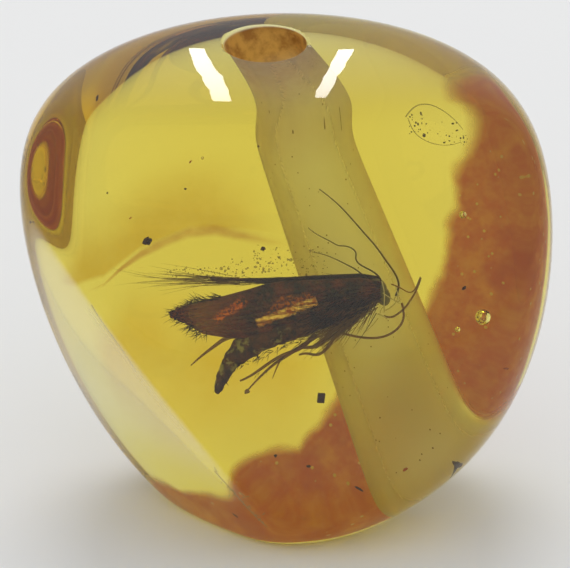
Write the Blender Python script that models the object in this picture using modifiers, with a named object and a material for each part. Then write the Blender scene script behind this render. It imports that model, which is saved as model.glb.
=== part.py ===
"""Insect in amber: a drilled, polished amber bead with a small moth sealed inside it.

The bead is one natural lump. It is parted here in two, so that the moth has a pocket to lie in:
amber_front is the thin slice before the moth, amber_back the rest, with the string bore.
Metres, +Z up. The front is -Y, and the origin is under the middle of the bead, on its flat base.
"""

import math

import bmesh
import bpy
import numpy as np
from mathutils import Vector

MM = 0.001
SHARP_ANGLE = math.radians(35)  # faces that meet at more than this are shaded with an edge

# The bead: an upright ellipsoid that leans to the left, with flats worn or ground into it.
BEAD_HALF_SIZE = np.array((5.95, 5.36, 9.34)) * MM
BEAD_CENTER = np.array((-0.015, -0.79, 7.76)) * MM
BEAD_LEAN = -0.60 * MM  # how far the top is left of the middle
GRID_CUTS = 17  # cuts along each edge of the cube that the ellipsoid starts from

# Each flat: the way it faces, its distance from FLAT_ORIGIN, how softly it meets the bead,
# and, where it is slightly domed, the dome's radius and the height of its middle.
FLAT_ORIGIN = np.array((-0.015, -0.79, 0.0)) * MM
TOP_FLAT = {"facing": (-0.034, -0.067, 1.0), "distance": 10.07 * MM, "softness": 2.13 * MM}
RIGHT_UNDERSIDE = {"facing": (0.35, 0.0, -0.90), "distance": 1.80 * MM, "softness": 1.50 * MM}
WINDOW = {"facing": (0.0, -1.0, 0.24), "distance": 3.90 * MM, "softness": 0.55 * MM,
          "dome_radius": 15.6 * MM, "middle_height": 4.1 * MM}
BACK_FLAT = {"facing": (0.0, 0.951, -0.309), "distance": 1.95 * MM, "softness": 0.50 * MM}
LEFT_FACET = {"facing": (-0.62, -0.68, -0.34), "distance": 2.35 * MM, "softness": 0.15 * MM,
              "dome_radius": 20.8 * MM, "middle_height": 4.4 * MM}

# The string bore runs from the top down to the right and forwards, and widens on its way.
BORE_TOP = Vector((-0.50, 1.78, 10.15)) * MM
BORE_BOTTOM = Vector((3.20, -0.42, 0.0)) * MM
BORE_TOP_RADIUS = 0.88 * MM
BORE_BOTTOM_RADIUS = 1.25 * MM
MOUTH_FLARE = 0.12 * MM  # length of the worn edge at each mouth
MOUTH_WEAR = 0.05 * MM  # how much wider the mouth is there
BORE_OVERRUN = 1.5 * MM  # the cutter passes this far out of the bead
BORE_SIDES = 24

# The parting plane, through the moth, and the pocket that it opens.
PARTING_Y = -1.69 * MM
PARTING_GAP = 0.10 * MM
POCKET_CENTER = Vector((-0.45, -1.69, 5.70)) * MM
POCKET_HALF_SIZE = Vector((3.90, 0.62, 2.85)) * MM

# The moth lies on its side, in the parting plane, with its head to the right.
# Places on it are (x, height) in millimetres; offsets from the plane are towards the back.
MOTH_Y = PARTING_Y
MOTH_BODY = (  # center, half length, half height, half width, and slope in degrees
    {"name": "thorax", "center": (1.10, 5.42), "half": (0.78, 0.50, 0.36), "slope": 14},
    {"name": "head", "center": (1.86, 5.68), "half": (0.27, 0.29, 0.25), "slope": 0},
)
ABDOMEN_LINE = ((0.75, 5.10), (0.10, 4.82), (-0.62, 4.45), (-1.08, 4.08), (-1.36, 3.70), (-1.47, 3.36))
ABDOMEN_RADII = (0.34, 0.36, 0.30, 0.23, 0.16, 0.10)
WING_THICKNESS = 0.07 * MM
FOREWING = ((1.62, 5.84), (0.80, 6.00), (-0.95, 5.90), (-1.72, 5.50), (-2.24, 5.44), (-2.50, 5.21),
            (-2.24, 5.00), (-1.92, 4.72), (-1.36, 4.68), (-0.35, 4.80), (0.70, 5.02), (1.50, 5.40))
HINDWING = ((1.00, 5.70), (-1.00, 5.95), (-2.40, 5.99), (-3.95, 5.86), (-3.98, 5.74), (-2.60, 5.60),
            (-1.60, 5.42), (0.90, 5.25))
FOREWING_OFFSET = -0.30 * MM
HINDWING_OFFSET = 0.10 * MM
LIMBS = (  # name, radius, offset of its root and tip, and its line
    ("long_antenna", 0.034, (0.05, 0.05),
     ((1.90, 5.70), (2.43, 5.80), (2.40, 6.02), (2.13, 6.48), (1.72, 7.08), (1.41, 7.50), (0.76, 8.17))),
    ("bent_antenna", 0.034, (-0.10, -0.05),
     ((1.88, 5.70), (2.05, 5.98), (1.72, 6.27), (1.52, 6.50), (1.50, 6.66), (1.15, 6.80), (0.52, 7.20))),
    ("palp", 0.045, (-0.12, -0.12),
     ((1.95, 5.60), (2.25, 5.42), (2.60, 5.58), (2.92, 5.98))),
    ("foreleg", 0.050, (-0.15, -0.20),
     ((1.25, 5.05), (1.25, 4.72), (1.90, 4.64), (2.40, 4.92), (2.55, 5.35), (2.20, 5.60), (1.95, 5.66))),
    ("middle_leg", 0.060, (-0.05, -0.10),
     ((0.95, 5.12), (0.72, 4.42), (0.30, 4.28), (0.05, 4.40))),
    ("hind_leg", 0.065, (0.00, -0.05),
     ((0.40, 4.85), (0.28, 4.42), (-0.22, 4.18), (-0.70, 3.74))),
    ("hind_foot", 0.038, (-0.03, 0.05),
     ((-0.16, 4.20), (-0.20, 3.98), (-0.52, 3.78), (-0.74, 3.45))),
    ("wing_spur", 0.060, (0.00, 0.00),
     ((-0.70, 4.58), (-1.31, 4.56), (-1.70, 4.28), (-2.02, 3.98))),
)


def clear_scene():
    for obj in list(bpy.data.objects):
        bpy.data.objects.remove(obj, do_unlink=True)


def add_collection(name, hidden=False):
    collection = bpy.data.collections.new(name)
    collection.hide_render = hidden
    bpy.context.scene.collection.children.link(collection)
    return collection


def add_object(name, mesh, collection, material=None):
    obj = bpy.data.objects.new(name, mesh)
    collection.objects.link(obj)
    if material:
        mesh.materials.append(material)
    return obj


def make_helper(obj):
    obj.hide_render = True
    obj.display_type = "WIRE"
    return obj


def principled(name, color, roughness, **more):
    material = bpy.data.materials.new(name)
    material.use_nodes = True
    shader = material.node_tree.nodes["Principled BSDF"]
    shader.inputs["Base Color"].default_value = (*color, 1.0)
    shader.inputs["Roughness"].default_value = roughness
    for socket, value in more.items():
        shader.inputs[socket.replace("_", " ")].default_value = value
    return material


def new_mesh(name, bm):
    mesh = bpy.data.meshes.new(name)
    return fill_mesh(mesh, bm)


def fill_mesh(mesh, bm):
    """Put the shape in the mesh, smooth but for its real edges."""
    bm.to_mesh(mesh)
    bm.free()
    mesh.shade_smooth()
    mesh.set_sharp_from_angle(angle=SHARP_ANGLE)
    return mesh


def grind(points, flat):
    """Push the points that stand proud of a flat back onto it, easing into it over its softness."""
    facing = np.array(flat["facing"])
    facing /= np.linalg.norm(facing)
    proud = (points - FLAT_ORIGIN) @ facing - flat["distance"]
    if "dome_radius" in flat:
        across = points - FLAT_ORIGIN - (0.0, 0.0, flat["middle_height"])
        across -= np.outer(across @ facing, facing)
        proud += (across**2).sum(axis=1) / (2 * flat["dome_radius"])
    eased = np.logaddexp(0.0, proud / flat["softness"]) * flat["softness"]
    return points - np.outer(eased, facing)


def bead_mesh(name):
    """The whole bead: a cube blown up to a ball, stretched, leaned and ground."""
    bm = bmesh.new()
    bmesh.ops.create_cube(bm, size=2.0)
    bmesh.ops.subdivide_edges(bm, edges=bm.edges[:], cuts=GRID_CUTS, use_grid_fill=True)
    cube = np.array([vert.co for vert in bm.verts])
    ball = np.tan(cube * math.pi / 4)  # evens out the faces
    ball /= np.linalg.norm(ball, axis=1)[:, None]
    points = ball * BEAD_HALF_SIZE + BEAD_CENTER
    points[:, 0] += BEAD_LEAN * ball[:, 2]
    for flat in (TOP_FLAT, RIGHT_UNDERSIDE, WINDOW, LEFT_FACET, BACK_FLAT):
        points = grind(points, flat)
    for vert, point in zip(bm.verts, points):
        vert.co = point
    cut_away(bm, (0.0, 0.0, 0.0), (0.0, 0.0, -1.0))  # the flat base
    return new_mesh(name, bm)


def cut_away(bm, through, facing):
    """Cut off what lies past a plane, and close the cut with a flat face."""
    everything = bm.verts[:] + bm.edges[:] + bm.faces[:]
    cut = bmesh.ops.bisect_plane(
        bm, geom=everything, plane_co=through, plane_no=facing, clear_outer=True, dist=1e-8
    )
    edges = [item for item in cut["geom_cut"] if isinstance(item, bmesh.types.BMEdge)]
    bmesh.ops.triangle_fill(bm, edges=edges, use_beauty=True, use_dissolve=False, normal=facing)
    bmesh.ops.recalc_face_normals(bm, faces=bm.faces[:])


def half_bead(name, collection, material, facing):
    """One side of the bead, cut at the parting plane less half of its gap."""
    bm = bmesh.new()
    bm.from_mesh(bpy.data.meshes["bead"])
    through = (0.0, PARTING_Y - facing * PARTING_GAP / 2, 0.0)
    cut_away(bm, through, (0.0, facing, 0.0))
    return add_object(name, new_mesh(name, bm), collection, material)


def bore_cutter(collection):
    """A turned profile, wider at each mouth, laid along the bore."""
    axis = BORE_TOP - BORE_BOTTOM
    half = axis.length / 2
    end = half + BORE_OVERRUN
    top_mouth, bottom_mouth = BORE_TOP_RADIUS + MOUTH_WEAR, BORE_BOTTOM_RADIUS + MOUTH_WEAR
    profile = (
        (0.0, end), (top_mouth, end), (top_mouth, half),
        (BORE_TOP_RADIUS, half - MOUTH_FLARE), (BORE_BOTTOM_RADIUS, MOUTH_FLARE - half),
        (bottom_mouth, -half), (bottom_mouth, -end), (0.0, -end),
    )
    bm = bmesh.new()
    verts = [bm.verts.new((radius, 0.0, height)) for radius, height in profile]
    for first, second in zip(verts, verts[1:]):
        bm.edges.new((first, second))
    obj = make_helper(add_object("bore_cutter", new_mesh("bore_cutter", bm), collection))
    obj.location = (BORE_TOP + BORE_BOTTOM) / 2
    obj.rotation_euler = axis.to_track_quat("Z", "Y").to_euler()
    turn = obj.modifiers.new("turn", "SCREW")
    turn.steps = turn.render_steps = BORE_SIDES
    turn.use_merge_vertices = True
    turn.merge_threshold = 1e-6
    return obj


def pocket_cutter(collection):
    bm = bmesh.new()
    bmesh.ops.create_uvsphere(bm, u_segments=24, v_segments=14, radius=1.0)
    bmesh.ops.scale(bm, vec=POCKET_HALF_SIZE, verts=bm.verts)
    obj = make_helper(add_object("pocket_cutter", new_mesh("pocket_cutter", bm), collection))
    obj.location = POCKET_CENTER
    return obj


def cut(obj, cutter):
    boolean = obj.modifiers.new(cutter.name, "BOOLEAN")
    boolean.operation = "DIFFERENCE"
    boolean.solver = "EXACT"
    boolean.object = cutter


def moth_place(place, offset=0.0):
    return Vector((place[0] * MM, MOTH_Y + offset, place[1] * MM))


def ellipsoid(name, piece, collection):
    bm = bmesh.new()
    bmesh.ops.create_uvsphere(bm, u_segments=16, v_segments=10, radius=1.0)
    length, height, width = (size * MM for size in piece["half"])
    bmesh.ops.scale(bm, vec=(length, width, height), verts=bm.verts)
    obj = add_object(name, new_mesh(name, bm), collection)
    obj.location = moth_place(piece["center"])
    obj.rotation_euler = (0.0, -math.radians(piece["slope"]), 0.0)
    return obj


def to_mesh_object(curve_obj, collection):
    """A curve made a welded mesh, so that it can take part in a Boolean."""
    graph = bpy.context.evaluated_depsgraph_get()
    mesh = bpy.data.meshes.new_from_object(curve_obj.evaluated_get(graph))
    bm = bmesh.new()
    bm.from_mesh(mesh)
    bmesh.ops.remove_doubles(bm, verts=bm.verts, dist=1e-6)
    bmesh.ops.recalc_face_normals(bm, faces=bm.faces[:])
    obj = add_object(curve_obj.name + "_solid", fill_mesh(mesh, bm), collection)
    obj.matrix_world = curve_obj.matrix_world
    bpy.data.objects.remove(curve_obj)
    return obj


def tube(name, places, radii, offsets, collection):
    """A round, tapering limb along the places, its depth running from the first offset to the last."""
    curve = bpy.data.curves.new(name, "CURVE")
    curve.dimensions = "3D"
    curve.bevel_depth = MM
    curve.bevel_resolution = 1
    curve.use_fill_caps = True
    spline = curve.splines.new("POLY")
    spline.points.add(len(places) - 1)
    last = len(places) - 1
    for index, (point, place) in enumerate(zip(spline.points, places)):
        offset = offsets[0] + (offsets[1] - offsets[0]) * index / last
        point.co = (*moth_place(place, offset * MM), 1.0)
        point.radius = radii[index]
    obj = bpy.data.objects.new(name, curve)
    collection.objects.link(obj)
    bpy.context.view_layer.update()
    return to_mesh_object(obj, collection)


def wing(name, outline, offset, collection):
    """A flat wing from its outline, lying along the parting plane."""
    curve = bpy.data.curves.new(name, "CURVE")
    curve.dimensions = "2D"
    curve.fill_mode = "BOTH"
    curve.extrude = WING_THICKNESS / 2
    spline = curve.splines.new("POLY")
    spline.points.add(len(outline) - 1)
    spline.use_cyclic_u = True
    for point, (x, height) in zip(spline.points, outline):
        point.co = (x * MM, height * MM, 0.0, 1.0)
    obj = bpy.data.objects.new(name, curve)
    collection.objects.link(obj)
    obj.location = (0.0, MOTH_Y + offset, 0.0)
    obj.rotation_euler = (math.pi / 2, 0.0, 0.0)
    bpy.context.view_layer.update()
    return to_mesh_object(obj, collection)


def moth(collection, helpers, material):
    """The body with its wings, legs and feelers joined on as one solid."""
    thorax, head = (ellipsoid(piece["name"], piece, helpers) for piece in MOTH_BODY)
    pieces = [head, tube("abdomen", ABDOMEN_LINE, ABDOMEN_RADII, (0.0, 0.0), helpers)]
    pieces.append(wing("forewing", FOREWING, FOREWING_OFFSET, helpers))
    pieces.append(wing("hindwing", HINDWING, HINDWING_OFFSET, helpers))
    for name, radius, offsets, line in LIMBS:
        pieces.append(tube(name, line, [radius] * len(line), offsets, helpers))
    body = add_object("moth", thorax.data.copy(), collection, material)
    body.location = thorax.location
    body.rotation_euler = thorax.rotation_euler
    bpy.data.objects.remove(thorax)
    for piece in pieces:
        make_helper(piece)
        joining = body.modifiers.new(piece.name, "BOOLEAN")
        joining.operation = "UNION"
        joining.solver = "EXACT"
        joining.object = piece
    return body


def main():
    clear_scene()
    parts = add_collection("insect_in_amber")
    cutters = add_collection("cutters", hidden=True)
    amber = principled(
        "clear amber", (0.80, 0.58, 0.05), 0.05, IOR=1.54, Transmission_Weight=1.0
    )
    chitin = principled("moth", (0.045, 0.018, 0.006), 0.45)

    bead_mesh("bead")
    front = half_bead("amber_front", parts, amber, 1.0)
    back = half_bead("amber_back", parts, amber, -1.0)
    pocket = pocket_cutter(cutters)
    cut(front, pocket)
    cut(back, pocket)
    cut(back, bore_cutter(cutters))
    moth(parts, cutters, chitin)


main()
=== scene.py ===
# A drilled, polished amber bead with a small moth sealed in it.
import math

import bpy
import numpy as np
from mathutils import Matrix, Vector


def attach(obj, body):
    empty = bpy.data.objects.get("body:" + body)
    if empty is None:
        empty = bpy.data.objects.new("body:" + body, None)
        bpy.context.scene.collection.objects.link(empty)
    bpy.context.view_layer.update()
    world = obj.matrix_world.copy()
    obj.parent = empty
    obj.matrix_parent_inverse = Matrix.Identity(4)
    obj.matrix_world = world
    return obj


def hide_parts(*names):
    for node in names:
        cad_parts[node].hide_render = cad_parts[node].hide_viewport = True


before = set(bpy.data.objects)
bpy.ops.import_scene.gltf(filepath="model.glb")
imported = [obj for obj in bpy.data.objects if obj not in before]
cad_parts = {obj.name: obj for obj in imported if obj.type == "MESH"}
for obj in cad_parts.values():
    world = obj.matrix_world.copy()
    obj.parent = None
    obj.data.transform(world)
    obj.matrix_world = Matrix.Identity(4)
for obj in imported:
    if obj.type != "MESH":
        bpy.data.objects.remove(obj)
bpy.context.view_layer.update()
mm = 0.001
print("frame loaded")


def deselectAll():
    if bpy.context.object and bpy.context.object.mode != "OBJECT":
        bpy.ops.object.mode_set(mode="OBJECT")
    bpy.ops.object.select_all(action="DESELECT")


def pick(obj):  # makes it the only selected object
    deselectAll()
    obj.select_set(True)
    bpy.context.view_layer.objects.active = obj
    return obj


def named(name):  # names what was just added, and its mesh
    obj = bpy.context.object
    obj.name = name
    obj.data.name = name
    return obj


def applyPlace(obj):
    pick(obj)
    bpy.ops.object.transform_apply(location=True, rotation=True, scale=True)
    return obj


def applyAll(obj):  # every modifier, from the top down
    pick(obj)
    for modifier in list(obj.modifiers):
        bpy.ops.object.modifier_apply(modifier=modifier.name)
    return obj


def meshPoints(obj):
    flat = np.empty(len(obj.data.vertices) * 3)
    obj.data.vertices.foreach_get("co", flat)
    return flat.reshape(-1, 3)


def movePoints(obj, points):
    obj.data.vertices.foreach_set("co", np.asarray(points, np.float32).ravel())
    obj.data.update()


def joinAll(name, pieces):
    pick(pieces[0])
    for piece in pieces[1:]:
        piece.select_set(True)
    if len(pieces) > 1:
        bpy.ops.object.join()
    return named(name)


def takeShape(model):  # the points and faces of a model, which itself goes
    shape = meshPoints(model)
    faces = [tuple(face.vertices) for face in model.data.polygons]
    bpy.data.objects.remove(model)
    return shape, faces


def meshFrom(name, points, faces):  # one smooth piece from many copies
    mesh = bpy.data.meshes.new(name)
    mesh.from_pydata(np.concatenate(points), [], faces)
    piece = bpy.data.objects.new(name, mesh)
    bpy.context.scene.collection.objects.link(piece)
    pick(piece)
    bpy.ops.object.shade_smooth()
    return piece


def linear(hexColor):  # sRGB hex to the linear colour that nodes take
    parts = [int(hexColor[i : i + 2], 16) / 255 for i in (1, 3, 5)]
    return (*[c / 12.92 if c <= 0.04045 else ((c + 0.055) / 1.055) ** 2.4 for c in parts], 1.0)


def newMaterial(name):
    material = bpy.data.materials.new(name)
    material.use_nodes = True
    tree = material.node_tree
    tree.nodes.clear()
    out = tree.nodes.new("ShaderNodeOutputMaterial")
    return material, tree, out


def add(tree, kind, links=None, **settings):
    # a node with its settings, then its sockets: a value, or (node, output) to link from
    node = tree.nodes.new("ShaderNode" + kind)
    for key, value in settings.items():
        setattr(node, key, value)
    for socket, value in (links or {}).items():
        target = node.inputs[socket]
        if isinstance(value, tuple) and len(value) == 2 and hasattr(value[0], "outputs"):
            tree.links.new(value[0].outputs[value[1]], target)
        else:
            target.default_value = value
    return node


def inMillimetres(tree):  # where a point of the object is, in mm
    place = add(tree, "TexCoord")
    return add(tree, "Mapping", {"Vector": (place, "Object"), "Scale": (1 / mm, 1 / mm, 1 / mm)}), 0


def maths(tree, operation, *values):
    return add(tree, "Math", dict(enumerate(values)), operation=operation), 0


def ramp(tree, value, low, high):  # 0 to 1 as value goes from low to high, eased
    return add(tree, "MapRange", {"Value": value, "From Min": low, "From Max": high},
               interpolation_type="SMOOTHSTEP"), 0


def dot(tree, place, way, past=0.0):  # how far along a way a place is, past a plane across it
    along = add(tree, "VectorMath", {0: place, 1: way}, operation="DOT_PRODUCT")
    return maths(tree, "SUBTRACT", (along, "Value"), past)


def noise(tree, place, scale, detail=3.0, roughness=0.5):
    return add(tree, "TexNoise", {"Vector": place, "Scale": scale, "Detail": detail,
                                  "Roughness": roughness}), 0


def dots(tree, place, scale, size):  # 1 in small round spots
    cells = add(tree, "TexVoronoi", {"Vector": place, "Scale": scale})
    return ramp(tree, (cells, "Distance"), size, size * 0.6)


def blend(tree, amount, low, high):  # between two colours
    mix = add(tree, "Mix", data_type="RGBA")
    ends = [socket for socket in mix.inputs if socket.type == "RGBA"]
    for socket, value in ((mix.inputs["Factor"], amount), (ends[0], low), (ends[1], high)):
        if isinstance(value, tuple) and len(value) == 2:
            tree.links.new(value[0].outputs[value[1]], socket)
        else:
            socket.default_value = value
    return mix, [socket.type for socket in mix.outputs].index("RGBA")


def seeThrough(tree, shader, solid, out):  # the shader where solid is 1, nothing where it is 0
    nothing = add(tree, "BsdfTransparent")
    mix = add(tree, "MixShader", {0: solid})
    tree.links.new(nothing.outputs[0], mix.inputs[1])
    tree.links.new(shader.outputs[0], mix.inputs[2])
    tree.links.new(mix.outputs[0], out.inputs["Surface"])


view = {
    "lookAt": Vector((-0.026, 0.31, 4.804)) * mm,
    "elevation": 27.0,
    "distance": 0.40,
    "pictureWidth": 12.809 * mm,  # what the picture takes in, at lookAt
    "sensor": 36.0,
    "floorSize": 3.0,
    "floorColor": "#EDEDEC",
    "skyColor": "#F1F2F4",
    "skyStrength": 0.80,
}
lookDown = math.radians(view["elevation"])
lookDirection = Vector((0.0, math.cos(lookDown), -math.sin(lookDown)))


def makeCamera():
    bpy.ops.object.camera_add(location=view["lookAt"] - lookDirection * view["distance"])
    camera = named("camera")
    camera.rotation_euler = lookDirection.to_track_quat("-Z", "Y").to_euler()
    camera.data.sensor_width = view["sensor"]
    camera.data.lens = view["sensor"] * view["distance"] / view["pictureWidth"]
    camera.data.clip_start = 0.01
    camera.data.clip_end = 20.0
    bpy.context.scene.camera = camera


def makeFloor():
    bpy.ops.mesh.primitive_plane_add(size=view["floorSize"], location=(0, 0, -0.02 * mm))
    floor = named("floor")
    material, tree, out = newMaterial("matt white card")
    shader = add(tree, "BsdfPrincipled", {"Base Color": linear(view["floorColor"]), "Roughness": 0.9,
                                          "Specular IOR Level": 0.2})
    tree.links.new(shader.outputs[0], out.inputs["Surface"])
    floor.data.materials.append(material)


softboxes = {
    "distance": 3.0,
    "center": Vector((0, 0, 10)) * mm,
    "radiance": 9.0,
    # long strips behind the bead, each a glint on its shoulder: the azimuth and elevation
    # of the left and right edge of every row, in degrees, from the low end up
    "strips": {
        "left_strip": (((184.5, 27.4), (183.9, 28.57)), ((184.23, 31.08), (183.64, 31.77)),
                       ((184.13, 34.72), (183.54, 35.05)), ((184.66, 40.09), (184.02, 40.16)),
                       ((186.47, 48.88), (185.5, 49.04))),
        "right_strip": (((180.16, 29.83), (179.47, 29.17)), ((180.72, 32.62), (180.17, 32.37)),
                        ((181.09, 35.98), (180.66, 36.06)), ((181.33, 41.89), (180.76, 42.4)),
                        ((181.33, 47.93), (180.72, 48.53))),
    },
    "backSize": (0.20, 0.15),  # the big one behind, whose light comes through the bead to the floor
    "backAway": 0.40,
    "backElevation": 62.0,
    "backRadiance": 5.0,
}


def skyWay(azimuth, elevation):  # azimuth 180 is straight behind the bead
    across, up = math.radians(azimuth), math.radians(elevation)
    return Vector((math.sin(across) * math.cos(up), -math.cos(across) * math.cos(up), math.sin(up)))


def makeLamps():
    material, tree, out = newMaterial("white diffuser, lit")
    glow = add(tree, "Emission", {"Strength": softboxes["radiance"]})
    tree.links.new(glow.outputs[0], out.inputs["Surface"])
    for name, rows in softboxes["strips"].items():
        deselectAll()
        bpy.ops.mesh.primitive_grid_add(x_subdivisions=1, y_subdivisions=len(rows) - 1)
        strip = named(name)
        edges = [skyWay(*edge) * softboxes["distance"] + softboxes["center"] for row in rows for edge in row]
        movePoints(strip, edges)
        strip.data.materials.append(material)
        strip.visible_camera = strip.visible_transmission = False
    way = skyWay(180, softboxes["backElevation"])
    bpy.ops.object.light_add(type="AREA", location=softboxes["center"] + way * softboxes["backAway"])
    lamp = named("back_softbox")
    lamp.rotation_euler = way.to_track_quat("Z", "Y").to_euler()
    lamp.data.shape = "RECTANGLE"
    lamp.data.size, lamp.data.size_y = softboxes["backSize"]
    lamp.data.energy = softboxes["backRadiance"] * math.pi * lamp.data.size * lamp.data.size_y
    lamp.visible_camera = lamp.visible_glossy = False


def makeSky():
    world = bpy.data.worlds.new("pale studio")
    world.use_nodes = True
    bpy.context.scene.world = world
    tree = world.node_tree
    sky = tree.nodes["Background"]
    sky.inputs["Color"].default_value = linear(view["skyColor"])
    sky.inputs["Strength"].default_value = view["skyStrength"]
    scene = bpy.context.scene
    scene.view_settings.view_transform = "Standard"
    scene.cycles.max_bounces = 24
    scene.cycles.transmission_bounces = 24


makeCamera()
makeFloor()
makeLamps()
makeSky()
print("camera, floor and light made")


bead = {
    "halfSize": np.array((5.95, 5.36, 9.34)) * mm,
    "center": np.array((-0.015, -0.79, 7.76)) * mm,
    "lean": -0.60 * mm,
    "cuts": 95,
    "flatOrigin": np.array((-0.015, -0.79, 0.0)) * mm,
    # which way each flat faces, how far out it is, how softly it meets the rest, and its doming
    "flats": (
        ((-0.034, -0.067, 1.0), 10.07, 2.13, None),
        ((0.35, 0.0, -0.90), 1.80, 1.50, None),
        ((0.0, -1.0, 0.24), 3.90, 0.55, (15.6, 4.1)),
        ((-0.62, -0.68, -0.34), 2.35, 0.15, (20.8, 4.4)),
        ((0.0, 0.951, -0.309), 1.95, 0.50, None),
        ((0.0, 0.0, -1.0), 0.0, 0.08, None),
    ),
}
bore = {
    "top": Vector((-0.50, 1.78, 10.15)) * mm,
    "bottom": Vector((3.20, -0.42, 0.0)) * mm,
    "topRadius": 0.87 * mm,
    "bottomRadius": 1.25 * mm,
    "sides": 96,
    # how far in from each mouth, and how much wider there, in mm: the rim is rounded by wear
    "rim": ((0.14, 0.0), (0.09, 0.004), (0.05, 0.014), (0.02, 0.03), (0.0, 0.05), (-0.03, 0.10),
            (-1.5, 0.10)),
}


def grind(points, facing, distance, softness, dome):  # eases what stands proud back onto a flat
    facing = np.array(facing) / np.linalg.norm(facing)
    proud = (points - bead["flatOrigin"]) @ facing - distance * mm
    if dome:
        across = points - bead["flatOrigin"] - (0.0, 0.0, dome[1] * mm)
        across -= np.outer(across @ facing, facing)
        proud += (across**2).sum(axis=1) / (2 * dome[0] * mm)
    eased = np.logaddexp(0.0, proud / (softness * mm)) * softness * mm
    return points - np.outer(eased, facing)


def mouthPlane(points, end, radius):  # a point on the bead's skin at one end of the bore, and its facing
    axis = np.array((bore["top"] - bore["bottom"]).normalized())
    beside = points - np.array(end)
    across = np.linalg.norm(np.cross(beside, axis), axis=1)
    skin = points[(across < 1.35 * radius) & (np.abs(beside @ axis) < 2.5 * radius)]
    middle = skin.mean(axis=0)
    facing = np.linalg.svd(skin - middle)[2][2]
    return middle, facing


def makeBore(points):
    axis = bore["top"] - bore["bottom"]
    half = axis.length / 2
    slope = (bore["topRadius"] - bore["bottomRadius"]) / axis.length
    stations = [(-half + into * mm, wider) for into, wider in reversed(bore["rim"])]
    stations += [(half - into * mm, wider) for into, wider in bore["rim"]]
    rings = [(height, bore["bottomRadius"] + slope * (height + half) + wider * mm)
             for height, wider in stations]
    deselectAll()
    bpy.ops.mesh.primitive_circle_add(vertices=bore["sides"], radius=rings[0][1], fill_type="NGON",
                                      location=(0, 0, rings[0][0]))
    cutter = named("bore_cutter")
    bpy.ops.object.mode_set(mode="EDIT")
    for (height, radius), (nextHeight, nextRadius) in zip(rings, rings[1:]):
        bpy.ops.mesh.extrude_region_move(TRANSFORM_OT_translate={"value": (0, 0, nextHeight - height)})
        grow = nextRadius / radius
        bpy.ops.transform.resize(value=(grow, grow, 1.0), center_override=(0, 0, nextHeight))
    bpy.ops.mesh.select_all(action="SELECT")
    bpy.ops.mesh.normals_make_consistent(inside=False)
    bpy.ops.object.mode_set(mode="OBJECT")
    applyPlace(cutter)
    cutter.location = (bore["top"] + bore["bottom"]) / 2
    cutter.rotation_euler = axis.to_track_quat("Z", "Y").to_euler()
    applyPlace(cutter)

    # the rings near each mouth are slid along the bore until they lie as the bead's skin does
    along = np.array(axis.normalized())
    skewed = meshPoints(cutter)
    heights = (skewed - np.array((bore["top"] + bore["bottom"]) / 2)) @ along
    for end, radius, side in ((bore["top"], bore["topRadius"], 1),
                              (bore["bottom"], bore["bottomRadius"], -1)):
        middle, facing = mouthPlane(points, end, radius)
        near = heights * side > half - 0.2 * mm
        radial = skewed[near] - np.array(end)
        radial -= np.outer(radial @ along, along)
        meet = (middle - np.array(end)) @ facing / (along @ facing)
        slide = meet - (radial @ facing) / (along @ facing)
        skewed[near] += np.outer(slide, along)
    movePoints(cutter, skewed)
    return cutter


def makeBead():
    deselectAll()
    bpy.ops.mesh.primitive_cube_add(size=2.0)
    piece = named("amber_bead")
    bpy.ops.object.mode_set(mode="EDIT")
    bpy.ops.mesh.subdivide(number_cuts=bead["cuts"])
    bpy.ops.object.mode_set(mode="OBJECT")
    ball = np.tan(meshPoints(piece) * math.pi / 4)  # evens out the faces
    ball /= np.linalg.norm(ball, axis=1)[:, None]
    points = ball * bead["halfSize"] + bead["center"]
    points[:, 0] += bead["lean"] * ball[:, 2]
    for flat in bead["flats"]:
        points = grind(points, *flat)
    points[:, 2] = np.maximum(points[:, 2], 0.0)
    movePoints(piece, points)
    cutter = makeBore(points)
    cut = piece.modifiers.new("bore", "BOOLEAN")
    cut.operation = "DIFFERENCE"
    cut.solver = "EXACT"
    cut.object = cutter
    applyAll(piece)
    bpy.data.objects.remove(cutter)
    pick(piece)
    bpy.ops.object.shade_smooth_by_angle(angle=math.radians(35))
    return piece


amber = {
    "ior": 1.54,
    "tint": (0.950, 0.892, 0.22, 1.0),  # how a millimetre or so colours the light, with the density
    "density": 620.0,
    "wallRoughness": 0.9,
    "wallClear": (0.60, 0.78),  # low down and high up
    "wallColor": "#FFFDF0",
    "stainDark": "#7A3A0C",
    "stainLight": "#B87028",
    # the crust lies past any of the first three planes and behind the last: facing, and how far out
    "crustPlanes": (((0.965, 0.0, -0.261), 1.80), ((0.774, 0.0, -0.634), -0.22), ((0.0, 0.0, -1.0), -0.75)),
    "crustBehind": ((0.0, 0.989, -0.148), 0.75),
    "crustEdge": (-0.16, 0.12),
    "crustRoughness": 0.6,
    "crustOpaque": 0.8,
    "facetFacing": (-0.632, -0.693, -0.346),
    "facetRoughness": 0.08,
    "facetHaze": 0.27,
}


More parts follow.
